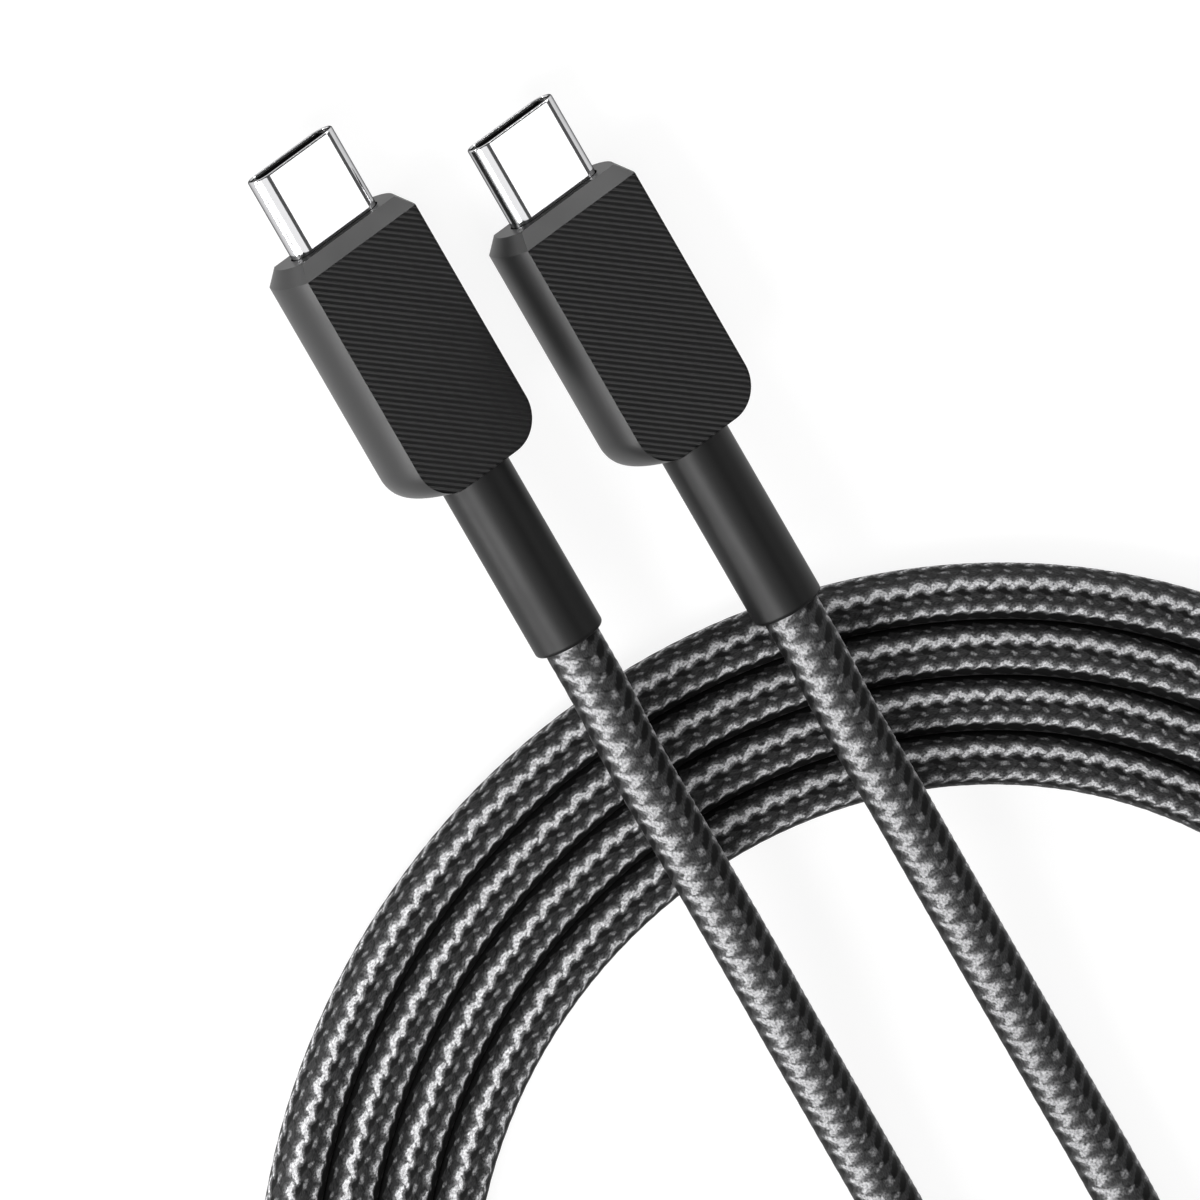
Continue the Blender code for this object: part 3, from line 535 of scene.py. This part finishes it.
def make_cable(material):
    """The whole cable as one tube with raised yarns, from the left plug round the coil to the right."""
    route, travel, coil_from, coil_to = cable_route()
    degrees = np.arange(SPOTS) * 360.0 / SPOTS - 180.0
    pattern, in_coil = cable_pattern(travel, degrees, coil_from, coil_to)
    radius = LEAD_R + (CABLE_R - LEAD_R) * in_coil - YARN_RISE * (1.0 - pattern[0])
    points = tube_points(route, degrees, radius)
    quads, uvs = tube_quads(travel)
    mesh = mesh_from_arrays("braided_cable", points.reshape(-1, 3), quads, uvs)
    # The marks that colour the yarns, with the painted shade between the coil's loops in them.
    colours = pattern[1:].reshape(4, -1).T.astype(np.float32)
    layer = mesh.color_attributes.new("weave", "FLOAT_COLOR", "POINT")
    layer.data.foreach_set("color", colours.ravel())
    share = mesh.attributes.new("wound", "FLOAT", "POINT")
    share.data.foreach_set("value", np.repeat(in_coil[:, 0], SPOTS).astype(np.float32))
    close_ends(mesh)
    mesh.shade_smooth()
    cable = add_object("braided_cable", mesh, material, smooth=0)
    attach(cable, "root")
    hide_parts("left_lead", "coil", "right_lead")
    path = route[::PATH_EVERY].tolist()
    if len(route) % PATH_EVERY != 1:
        path.append(route[-1].tolist())


# ---- Surfaces of one plug: x across, y towards the tip from the housing's front, z off its face

def half_widths(y):
    """Half width of the housing's face and of its crown, at a place along it."""
    face = FACE_W / 2
    crown = face + SIDE_BULGE
    if y > -CHAMFER_L:
        cut = CHAMFER_W * (1 + y / CHAMFER_L)
        return face - cut, crown - cut
    widths = []
    for half, corner in ((face, FACE_CORNER_R), (crown, BACK_CORNER_R)):
        past = -HOUSING_L + corner - y
        inset = corner - math.sqrt(max(corner ** 2 - past ** 2, 0.0)) if past > 0 else 0.0
        widths.append(half - inset)
    return widths


def housing_stations():
    """Places along the housing, from its front to its back, with its half thickness there."""
    front = HOUSING_T / 2 - CHAMFER_T
    stations = [(0.0, front), (-CHAMFER_L, HOUSING_T / 2), (-HOUSING_L / 2, HOUSING_T / 2)]
    for step in range(CORNER_STEPS + 1):
        turned = math.radians(90.0 * step / CORNER_STEPS)
        stations.append((-HOUSING_L + BACK_CORNER_R * (1 - math.sin(turned)), HOUSING_T / 2))
    return stations


def side_arc(y, half_t, steps=20):
    """The crowned right side at one place, from the lower face's edge to the upper one's."""
    face, crown = half_widths(y)
    bulge = crown - face
    radius = (half_t ** 2 + bulge ** 2) / (2 * bulge)
    swing = math.asin(half_t / radius)
    return [(crown - radius + radius * math.cos(angle), y, radius * math.sin(angle))
            for angle in np.linspace(-swing, swing, steps + 1)]


def rib_depth(phase):
    """Depth across one rib as a share of its full depth: a short fall towards the tip, a long rise."""
    if phase < RIB_FALL:
        return 0.5 - 0.5 * math.cos(math.pi * phase / RIB_FALL)
    return 0.5 + 0.5 * math.cos(math.pi * (phase - RIB_FALL) / (1 - RIB_FALL))


def rib_lines():
    """Lines along the ribs across the face: both ends and how deep each line lies."""
    right = [(half_widths(y)[0], y) for y, _ in housing_stations()[1:]]
    ring = np.array(right + [(-x, y) for x, y in reversed(right)])
    along = np.array((math.cos(RIB_LEAN), -math.sin(RIB_LEAN)))
    over = np.array((math.sin(RIB_LEAN), math.cos(RIB_LEAN)))
    heights = ring @ over
    following = np.roll(ring, -1, axis=0)
    rises = np.roll(heights, -1)
    step = RIB_PITCH / RIB_SAMPLES
    lines = []
    for index in range(int(np.ceil(heights.min() / step)), int(heights.max() / step) + 1):
        level = index * step
        crossed = (heights - level) * (rises - level) < 0
        share = (level - heights[crossed]) / (rises[crossed] - heights[crossed])
        ends = ring[crossed] + share[:, None] * (following[crossed] - ring[crossed])
        if len(ends) != 2:
            continue
        ends = ends[np.argsort(ends @ along)]
        phase = (index % RIB_SAMPLES) / RIB_SAMPLES
        lines.append((ends, RIB_DEPTH * rib_depth(phase)))
    return lines


def add_side(work, turn):
    """One crowned side of the housing; turned by -1 it is the other one, upside down."""
    rows = [[work.verts.new((turn * x, y, turn * z)) for x, y, z in side_arc(y, half_t)]
            for y, half_t in housing_stations()]
    for row, following in zip(rows, rows[1:]):
        for index in range(len(row) - 1):
            work.faces.new((row[index], following[index], following[index + 1], row[index + 1]))


def add_face(work, turn):
    """One flat face of the housing: its front chamfer and its ribs."""
    half_t = HOUSING_T / 2
    front, _ = half_widths(0.0)
    wide = FACE_W / 2
    corners = ((-front, 0.0, half_t - CHAMFER_T), (front, 0.0, half_t - CHAMFER_T),
               (wide, -CHAMFER_L, half_t), (-wide, -CHAMFER_L, half_t))
    work.faces.new([work.verts.new((turn * x, y, turn * z)) for x, y, z in corners])
    rows = []
    for ends, depth in rib_lines():
        (x0, y0), (x1, y1) = ends
        rows.append([work.verts.new((turn * x, y, turn * z)) for x, y, z in (
            (x0, y0, half_t), (x0, y0, half_t - depth), (x1, y1, half_t - depth), (x1, y1, half_t))])
    for row, following in zip(rows, rows[1:]):
        for index in range(3):
            work.faces.new((row[index], row[index + 1], following[index + 1], following[index]))


def add_end(work, place, half_t, hole):
    """One flat end of the housing, with a hole in it."""
    arc = side_arc(place, half_t)
    outline = [(x, z) for x, _, z in arc] + [(-x, -z) for x, _, z in arc]
    edges = []
    for loop in (outline, hole):
        verts = [work.verts.new((x, place, z)) for x, z in loop]
        edges += [work.edges.new((verts[index - 1], verts[index])) for index in range(len(verts))]
    bmesh.ops.triangle_fill(work, edges=edges, use_beauty=True)


def housing_surface(name, material):
    """Housing with crowned sides, a chamfered front and two finely ribbed faces."""
    work = bmesh.new()
    for turn in (1, -1):
        add_side(work, turn)
        add_face(work, turn)
    add_end(work, 0.0, HOUSING_T / 2 - CHAMFER_T, slot_outline(SHELL_W + 2 * FIT, SHELL_H + 2 * FIT))
    add_end(work, -HOUSING_L, HOUSING_T / 2, circle_outline(RELIEF_D - 2 * FIT))
    bmesh.ops.remove_doubles(work, verts=work.verts, dist=1e-7)
    return object_from(work, name, material, smooth=30.0)


def slot_outline(width, height, inset=0.0, steps=24):
    """Slot-shaped outline with round ends, set in from its size."""
    radius = height / 2
    straight = width / 2 - radius
    points = []
    for side in (1, -1):
        points.append((side * (straight - EDGE_BAND), -side * (radius - inset)))
        for index in range(steps + 1):
            angle = math.radians(-90 + 180 * index / steps)
            points.append((side * (straight + (radius - inset) * math.cos(angle)),
                           side * (radius - inset) * math.sin(angle)))
        points.append((side * (straight - EDGE_BAND), side * (radius - inset)))
    return points


def circle_outline(diameter, steps=96):
    """Points around a circle."""
    return [(diameter / 2 * math.cos(2 * math.pi * index / steps),
             diameter / 2 * math.sin(2 * math.pi * index / steps)) for index in range(steps)]


def skin(name, outlines, material):
    """A surface through outlines of equal count, each at its own place along the plug."""
    work = bmesh.new()
    rows = [[work.verts.new((x, y, z)) for x, z in outline] for y, outline in outlines]
    for row, following in zip(rows, rows[1:]):
        for index in range(len(row)):
            work.faces.new((row[index - 1], row[index], following[index], following[index - 1]))
    return object_from(work, name, material, smooth=40.0)


def shell_surface(name, material):
    """Drawn shell with a rounded front rim."""
    rim = SHELL_WALL / 2
    outlines = [(-SHELL_TUCK, slot_outline(SHELL_W, SHELL_H)),
                (SHELL_OUT - rim - EDGE_BAND, slot_outline(SHELL_W, SHELL_H))]
    for step in range(ROUND_STEPS + 1):
        angle = math.radians(180.0 * step / ROUND_STEPS)
        outlines.append((SHELL_OUT - rim + rim * math.sin(angle),
                         slot_outline(SHELL_W, SHELL_H, rim - rim * math.cos(angle))))
    outlines.append((SHELL_OUT - rim - EDGE_BAND, slot_outline(SHELL_W, SHELL_H, SHELL_WALL)))
    outlines.append((-SHELL_TUCK, slot_outline(SHELL_W, SHELL_H, SHELL_WALL)))
    outlines.append(outlines[0])
    return skin(name, outlines, material)


def relief_surface(name, material):
    """Round sleeve with a softened free end, into which the cable runs."""
    outer = RELIEF_D / 2
    bore = LEAD_R + BORE_GAP
    tucked = (-HOUSING_L + RELIEF_TUCK, outer - RELIEF_WALL)
    profile = [tucked, (-HOUSING_L + RELIEF_TUCK, outer), (-HOUSING_L, outer),
               (TAIL_END + RELIEF_EDGE + EDGE_BAND, outer)]
    for step in range(ROUND_STEPS + 1):
        angle = math.radians(90.0 * step / ROUND_STEPS)
        profile.append((TAIL_END + RELIEF_EDGE * (1 - math.sin(angle)),
                        outer - RELIEF_EDGE * (1 - math.cos(angle))))
    profile += [(TAIL_END, bore + BORE_EDGE), (TAIL_END + BORE_EDGE, bore),
                (TAIL_END + BORE_DEEP, bore), tucked]
    return skin(name, [(y, circle_outline(2 * radius)) for y, radius in profile], material)


def make_plugs(materials):
    """The pieces of each plug that show, drawn finer than their solids."""
    for side in SIDES:
        pieces = (
            (housing_surface(f"{side}_housing_skin", materials["housing"]), "housing"),
            (shell_surface(f"{side}_shell_skin", materials["steel_shell"]), "shell"),
            (relief_surface(f"{side}_strain_relief_skin", materials["strain_relief"]), "strain_relief"),
        )
        for piece, node in pieces:
            piece.data.transform(plug_matrix(side))
            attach(piece, "root")
            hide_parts(f"{side}_{node}")


def dress_inner_pieces(materials):
    """The plugs' other pieces keep their solids and get their materials."""
    for side in SIDES:
        for node, slot in INNER_PIECES.items():
            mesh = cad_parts[f"{side}_{node}"].data
            mesh.materials.clear()
            mesh.materials.append(materials[slot])


# ---- Materials

def new_material(name):
    """A material with its node tree and its Principled shader."""
    material = bpy.data.materials.new(name)
    material.use_nodes = True
    tree = material.node_tree
    return material, tree, tree.nodes["Principled BSDF"]


def braid_material():
    """Nylon braid: bright and dark yarns by the mesh's own pattern, with painted shade between the coil's
    loops and ragged filament edges.
    """
    material, tree, shader = new_material("nylon_braid")
    nodes, links = tree.nodes, tree.links

    def noise(scale, detail, stretch=1.0, lean=0.0):
        """Noise over the unrolled cable, at a scale per millimetre."""
        place = nodes.new("ShaderNodeMapping")
        place.inputs["Rotation"].default_value = (0, 0, lean)
        place.inputs["Scale"].default_value = (scale * stretch, scale, scale)
        source = nodes.new("ShaderNodeTexNoise")
        source.inputs["Scale"].default_value = 1.0
        source.inputs["Detail"].default_value = detail
        links.new(uv.outputs[0], place.inputs[0])
        links.new(place.outputs[0], source.inputs["Vector"])
        return source.outputs[0]

    def inside(mark, border):
        """Turns how far inside a mark a place is into a mask with a ragged border."""
        total = nodes.new("ShaderNodeMath")
        total.operation = "MULTIPLY_ADD"
        links.new(coarse, total.inputs[0])
        total.inputs[1].default_value = RAGGED
        links.new(mark, total.inputs[2])
        ramp = nodes.new("ShaderNodeMapRange")
        ramp.interpolation_type = "SMOOTHSTEP"
        ramp.inputs["From Min"].default_value = border[0]
        ramp.inputs["From Max"].default_value = border[1]
        links.new(total.outputs[0], ramp.inputs["Value"])
        return ramp.outputs[0]

    def stretched(source):
        """The noise's middle values, stretched over the whole range."""
        ramp = nodes.new("ShaderNodeMapRange")
        ramp.inputs["From Min"].default_value = NOISE_MIDDLE[0]
        ramp.inputs["From Max"].default_value = NOISE_MIDDLE[1]
        links.new(source, ramp.inputs["Value"])
        return ramp.outputs[0]

    def mixed(factor, first, second):
        """A mix of two greys or colours."""
        mix = nodes.new("ShaderNodeMix")
        mix.data_type = "RGBA"
        links.new(factor, mix.inputs["Factor"])
        for slot, value in (("A", first), ("B", second)):
            if isinstance(value, float):
                mix.inputs[slot].default_value = (value, value, value * BLUE_CAST, 1)
            else:
                links.new(value, mix.inputs[slot])
        return mix.outputs["Result"]

    def light_yarn(greys):
        """Bright yarn: filaments light and dark, in light and dark patches."""
        return mixed(grain, *(mixed(streaks, *pair) for pair in greys))

    uv = nodes.new("ShaderNodeUVMap")
    uv.uv_map = "UVMap"
    pattern = nodes.new("ShaderNodeAttribute")
    pattern.attribute_name = "weave"
    split = nodes.new("ShaderNodeSeparateColor")
    links.new(pattern.outputs["Color"], split.inputs[0])
    # The strokes, flecks and hollows also carry painted shade between the coil's loops.
    bright, fleck, hollow = split.outputs
    vein = pattern.outputs["Alpha"]
    coil_share = nodes.new("ShaderNodeAttribute")
    coil_share.attribute_name = "wound"
    wound = coil_share.outputs["Fac"]
    filaments = noise(9.0, 3.0, 0.35, FILAMENT_LEAN)
    coarse = noise(4.5, 3.0)
    streaks = stretched(filaments)
    grain = stretched(noise(4.6, 2.0))
    colour = mixed(wound, mixed(streaks, *LEAD_DARK), mixed(streaks, *COIL_DARK))
    colour = mixed(inside(vein, VEIN_BORDER), colour, VEIN_GREY)
    # Black hollows, which between the coil's loops are painted shade.
    colour = mixed(inside(hollow, HOLLOW_BORDER), colour, HOLLOW_GREY)
    colour = mixed(inside(fleck, FLECK_BORDER), colour, mixed(grain, *FLECK_GREYS))
    colour = mixed(inside(bright, EDGE_BORDER), colour, mixed(grain, *EDGE_GREYS))
    light = mixed(wound, light_yarn(LEAD_LIGHT), light_yarn(COIL_LIGHT))
    colour = mixed(inside(bright, STROKE_BORDER), colour, light)
    links.new(colour, shader.inputs["Base Color"])
    shader.inputs["Roughness"].default_value = 0.6
    shader.inputs["Specular IOR Level"].default_value = 0.12
    bump = nodes.new("ShaderNodeBump")
    bump.inputs["Strength"].default_value = 0.5
    bump.inputs["Distance"].default_value = 0.05 * MM
    links.new(filaments, bump.inputs["Height"])
    links.new(bump.outputs[0], shader.inputs["Normal"])
    return material


def plain_material(name, colour, roughness, metallic=0.0, rim=1.0, gloss_level=0.5):
    """Moulded or metal surface with a little variation of gloss; a low rim darkens metal seen edge-on."""
    material, tree, shader = new_material(name)
    nodes, links = tree.nodes, tree.links
    shader.inputs["Base Color"].default_value = (*colour, 1)
    shader.inputs["Metallic"].default_value = metallic
    shader.inputs["Specular Tint"].default_value = (rim, rim, rim, 1)
    shader.inputs["Specular IOR Level"].default_value = gloss_level
    place = nodes.new("ShaderNodeTexCoord")
    noise = nodes.new("ShaderNodeTexNoise")
    noise.inputs["Scale"].default_value = GLOSS_GRAIN
    noise.inputs["Detail"].default_value = 4.0
    links.new(place.outputs["Object"], noise.inputs["Vector"])
    gloss = nodes.new("ShaderNodeMapRange")
    gloss.inputs["To Min"].default_value = roughness * 0.85
    gloss.inputs["To Max"].default_value = roughness * 1.15
    links.new(noise.outputs[0], gloss.inputs["Value"])
    links.new(gloss.outputs[0], shader.inputs["Roughness"])
    return material


# ---- Stage and light

def floor_material():
    """Pale ground that keeps the object's shadow and glows white to the camera, to metal and to glass."""
    material, tree, shader = new_material("pale_floor")
    nodes, links = tree.nodes, tree.links
    shader.inputs["Base Color"].default_value = (FLOOR_COLOUR, FLOOR_COLOUR, FLOOR_COLOUR, 1)
    shader.inputs["Roughness"].default_value = FLOOR_ROUGHNESS
    shader.inputs["Specular IOR Level"].default_value = 0.0
    path = nodes.new("ShaderNodeLightPath")
    seen = path.outputs["Is Camera Ray"]
    for name in ("Is Glossy Ray", "Is Transmission Ray"):
        either = nodes.new("ShaderNodeMath")
        either.operation = "MAXIMUM"
        links.new(seen, either.inputs[0])
        links.new(path.outputs[name], either.inputs[1])
        seen = either.outputs[0]
    place = nodes.new("ShaderNodeTexCoord")
    away = nodes.new("ShaderNodeVectorMath")
    away.operation = "LENGTH"
    links.new(place.outputs["Object"], away.inputs[0])
    level = nodes.new("ShaderNodeMapRange")
    level.inputs["From Min"].default_value = GLOW_NEAR
    level.inputs["From Max"].default_value = GLOW_FAR
    level.inputs["To Min"].default_value = FLOOR_GLOW
    level.inputs["To Max"].default_value = FAR_GLOW
    links.new(away.outputs["Value"], level.inputs["Value"])
    glow = nodes.new("ShaderNodeMath")
    glow.operation = "MULTIPLY"
    links.new(level.outputs[0], glow.inputs[0])
    links.new(seen, glow.inputs[1])
    shader.inputs["Emission Color"].default_value = (1, 1, 1, 1)
    links.new(glow.outputs[0], shader.inputs["Emission Strength"])
    return material


def make_stage():
    """A floor with a low wall far away."""
    corners = [(-FLOOR_REACH, -FLOOR_REACH), (FLOOR_REACH, -FLOOR_REACH),
               (FLOOR_REACH, FLOOR_REACH), (-FLOOR_REACH, FLOOR_REACH)]
    points = [(x, y, -FLOOR_DROP) for x, y in corners] + [(x, y, WALL_HEIGHT) for x, y in corners]
    faces = [(0, 1, 2, 3)]
    for index in range(4):
        following = (index + 1) % 4
        faces.append((index, following, following + 4, index + 4))
    mesh = bpy.data.meshes.new("floor")
    mesh.from_pydata(points, [], faces)
    floor = add_object("floor", mesh, floor_material(), smooth=0)


def area_light(name, direction, distance, size, radiance):
    """A square lamp that faces the origin, as bright as a white card at that level."""
    data = bpy.data.lights.new(name, "AREA")
    data.shape = "SQUARE"
    data.size = size
    data.energy = radiance * math.pi * size ** 2
    lamp = bpy.data.objects.new(name, data)
    way = Vector(direction).normalized()
    lamp.location = way * distance
    lamp.rotation_euler = (-way).to_track_quat("-Z", "Y").to_euler()
    lamp.visible_camera = False
    bpy.context.scene.collection.objects.link(lamp)


def make_lights():
    """The even world and the lamps."""
    world = bpy.data.worlds.new("world")
    bpy.context.scene.world = world
    world.use_nodes = True
    background = world.node_tree.nodes["Background"]
    background.inputs["Color"].default_value = (1, 1, 1, 1)
    background.inputs["Strength"].default_value = WORLD_LEVEL
    for lamp in LAMPS:
        area_light(*lamp)


def main():
    """Everything that the frame's solids don't have."""
    bpy.context.scene.view_settings.view_transform = "Standard"
    make_camera()
    make_cable(braid_material())
    materials = {slot: plain_material(name, colour, roughness, **more)
                 for slot, (name, colour, roughness, more) in PLAIN_MATERIALS.items()}
    make_plugs(materials)
    dress_inner_pieces(materials)
    make_stage()
    make_lights()


main()
